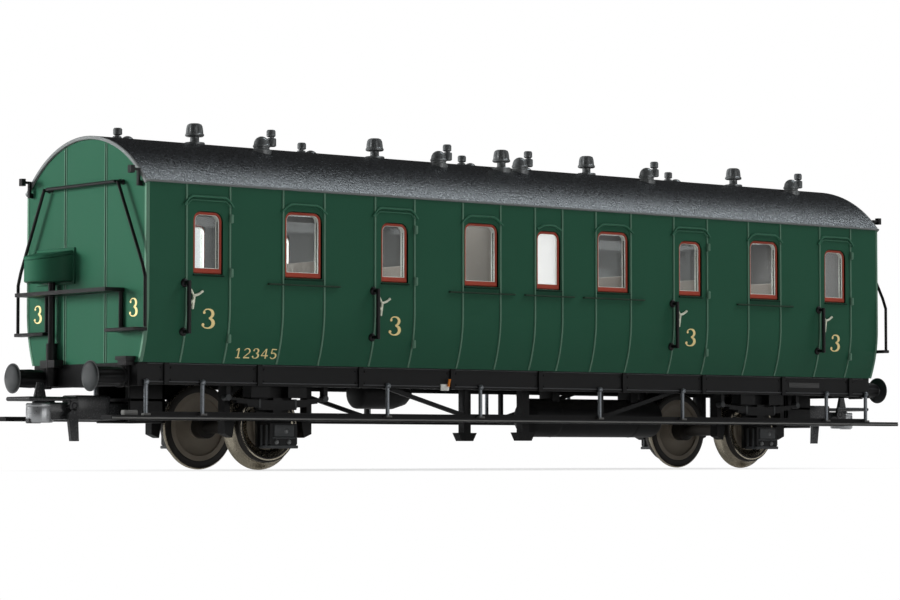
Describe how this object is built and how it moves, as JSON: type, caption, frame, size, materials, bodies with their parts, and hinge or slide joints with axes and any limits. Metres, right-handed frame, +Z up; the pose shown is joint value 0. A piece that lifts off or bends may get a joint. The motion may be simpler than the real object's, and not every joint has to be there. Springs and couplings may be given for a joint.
{
  "type": "H0 scale model of a two-axle compartment passenger coach",
  "caption": "Two-axle model coach with a barrel roof, side doors, footboards and loop couplers, on turning wheelsets.",
  "frame": {"origin": "middle of the coach at the lowest points of the wheel flanges", "axes": "+X along the coach away from the hand-brake end, +Y across it, +Z up"},
  "size_m": [0.1696, 0.0334, 0.0501],
  "materials": {
    "coach_green": "satin bottle green paint on moulded plastic",
    "roof_grey": "anthracite paint with a fine mineral speckle",
    "roof_fitting_grey": "mid grey moulded roof fittings",
    "frame_red": "brick red painted window frames",
    "clear_pane": "clear glazing",
    "frosted_pane": "white frosted pane",
    "floor_grey": "grey moulded interior floor",
    "bench_brown": "grey brown moulded benches",
    "partition_grey": "pale grey moulded partitions",
    "ballast_steel": "plain steel plate",
    "frame_black": "satin black moulded underframe",
    "buffer_metal": "dark grey buffer metal",
    "coupler_black": "black coupler with a slight gloss",
    "rail_black": "black painted wire",
    "lever_silver": "silver grey paint",
    "axle_steel": "burnished axle steel",
    "tyre_nickel": "burnished nickel tyre",
    "disc_brown": "dark brown wheel disc"
  },
  "bodies": {
    "coach": {"body_side_left": "coach_green", "body_side_right": "coach_green", "body_end_a": "coach_green", "body_end_b": "coach_green", "roof": "roof_grey", "ridge_vents": "roof_fitting_grey", "lamp_tops": "roof_fitting_grey", "window_frames": "frame_red", "glazing": "clear_pane", "toilet_panes": "frosted_pane", "interior_floor": "floor_grey", "bench_seats": "bench_brown", "bench_backs": "bench_brown", "partitions": "partition_grey", "ballast_plate": "ballast_steel", "chassis_floor": "frame_black", "solebars": "frame_black", "headstocks": "frame_black", "axle_guards_a": "frame_black", "axle_guards_b": "frame_black", "leaf_springs": "frame_black", "brake_gear_a": "frame_black", "brake_gear_b": "frame_black", "truss_rods": "frame_black", "centre_posts": "frame_black", "gas_tank": "frame_black", "brake_cylinder": "frame_black", "footboards": "frame_black", "footboard_hangers": "frame_black", "buffer_sleeves": "frame_black", "buffer_heads": "buffer_metal", "coupler_pocket_a": "frame_black", "coupler_pocket_b": "frame_black", "end_rails": "rail_black", "end_steps": "rail_black", "lamp_brackets": "rail_black", "tread_blocks": "rail_black", "brake_shelf": "rail_black", "brake_box": "coach_green", "brake_shaft": "rail_black", "grab_rails": "rail_black", "door_levers": "lever_silver"},
    "wheelset_a": {"axle_a": "axle_steel", "tyres_a": "tyre_nickel", "discs_a": "disc_brown"},
    "wheelset_b": {"axle_b": "axle_steel", "tyres_b": "tyre_nickel", "discs_b": "disc_brown"},
    "coupler_arm_a": {"coupler_a": "coupler_black"},
    "coupler_arm_b": {"coupler_b": "coupler_black"},
    "coupler_bail_a": {"coupler_loop_a": "coupler_black"},
    "coupler_bail_b": {"coupler_loop_b": "coupler_black"}
  },
  "joints": [
    {"name": "wheelset_spin_a", "type": "hinge", "parent": "coach", "child": "wheelset_a", "pos_m": [-0.049, 0, 0.0063], "axis": [0, 1, 0], "continuous": true},
    {"name": "wheelset_spin_b", "type": "hinge", "parent": "coach", "child": "wheelset_b", "pos_m": [0.049, 0, 0.0063], "axis": [0, 1, 0], "continuous": true},
    {"name": "coupler_swing_a", "type": "hinge", "parent": "coach", "child": "coupler_arm_a", "pos_m": [-0.066, 0, 0.00827], "axis": [0, 0, 1], "range_deg": [-10, 10]},
    {"name": "coupler_swing_b", "type": "hinge", "parent": "coach", "child": "coupler_arm_b", "pos_m": [0.066, 0, 0.00827], "axis": [0, 0, 1], "range_deg": [-10, 10]},
    {"name": "bail_lift_a", "type": "hinge", "parent": "coupler_arm_a", "child": "coupler_bail_a", "pos_m": [-0.0775, 0, 0.00902], "axis": [0, 1, 0], "range_deg": [0, 25]},
    {"name": "bail_lift_b", "type": "hinge", "parent": "coupler_arm_b", "child": "coupler_bail_b", "pos_m": [0.0775, 0, 0.00902], "axis": [0, -1, 0], "range_deg": [0, 25]}
  ]
}
